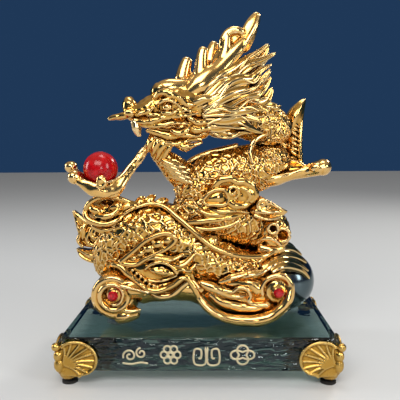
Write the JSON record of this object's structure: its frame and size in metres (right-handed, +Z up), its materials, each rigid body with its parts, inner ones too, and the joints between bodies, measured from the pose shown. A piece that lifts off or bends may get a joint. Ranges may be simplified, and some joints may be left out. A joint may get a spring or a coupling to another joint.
{
  "type": "dragon figurine on glass plinth",
  "caption": "Gold-plated dragon figurine coiled over a ruyi sceptre, holding out a red bead, on a clear green-tinted glass plinth with cast corner feet.",
  "frame": {"origin": "on the table, under the middle of the plinth", "axes": "+Z up, the inscription face and the dragon's near side face -Y, the dragon looks towards -X"},
  "size_m": [0.1668, 0.0968, 0.2166],
  "materials": {
    "plated_gold": "polished gold electroplate on a resin casting",
    "cast_gold": "duller gold plate on a die-cast corner foot",
    "tinted_glass": "polished green-tinted float glass",
    "red_bead": "polished translucent cherry-red bead with faint mottling",
    "red_rhinestone": "faceted red acrylic stone",
    "pin_steel": "drawn steel pin",
    "felt": "dark felt pad",
    "clear_adhesive": "clear cured adhesive"
  },
  "bodies": {
    "stand": {"antler_left": "plated_gold", "antler_right": "plated_gold", "ball_claw": "plated_gold", "beard": "plated_gold", "bond_pad_ball": "clear_adhesive", "bond_pad_left": "clear_adhesive", "bond_pad_right": "clear_adhesive", "chest_coil": "plated_gold", "chin_tuft": "plated_gold", "cloud_panel_lower": "plated_gold", "cloud_scroll_middle": "plated_gold", "cloud_swirl_left": "plated_gold", "corner_foot_front_left": "cast_gold", "corner_foot_front_right": "cast_gold", "corner_foot_rear_left": "cast_gold", "corner_foot_rear_right": "cast_gold", "dorsal_ridge": "plated_gold", "dowel_coil": "pin_steel", "dowel_head": "pin_steel", "dowel_neck": "pin_steel", "dowel_waist": "pin_steel", "ear_left": "plated_gold", "ear_right": "plated_gold", "fang_left": "plated_gold", "fang_right": "plated_gold", "fin_right": "plated_gold", "foot_pad_front_left": "felt", "foot_pad_front_right": "felt", "foot_pad_rear_left": "felt", "foot_pad_rear_right": "felt", "foreleg_left": "plated_gold", "foreleg_right": "plated_gold", "gem_left": "red_rhinestone", "gem_right": "red_rhinestone", "glass_plinth": "tinted_glass", "head": "plated_gold", "hind_claw_right": "plated_gold", "hollow_scroll": "plated_gold", "lower_coil": "plated_gold", "lower_jaw": "plated_gold", "mane_crest": "plated_gold", "mane_left": "plated_gold", "mane_right": "plated_gold", "middle_coil": "plated_gold", "neck": "plated_gold", "nose_horn": "plated_gold", "pearl_pin": "pin_steel", "pearl_scoop": "plated_gold", "rear_coil": "plated_gold", "rock_ball": "plated_gold", "ruyi_bar": "plated_gold", "ruyi_lobe_right": "plated_gold", "ruyi_scroll_left": "plated_gold", "scoop_finger": "plated_gold", "scoop_keel": "plated_gold", "tail_fin": "plated_gold", "thigh_left": "plated_gold"},
    "pearl": {"pearl_bead": "red_bead"}
  },
  "joints": [
    {"name": "pearl_turn", "type": "hinge", "parent": "stand", "child": "pearl", "pos_m": [-0.0578, -0.024, 0.1238], "axis": [0, 0, 1], "continuous": true}
  ]
}
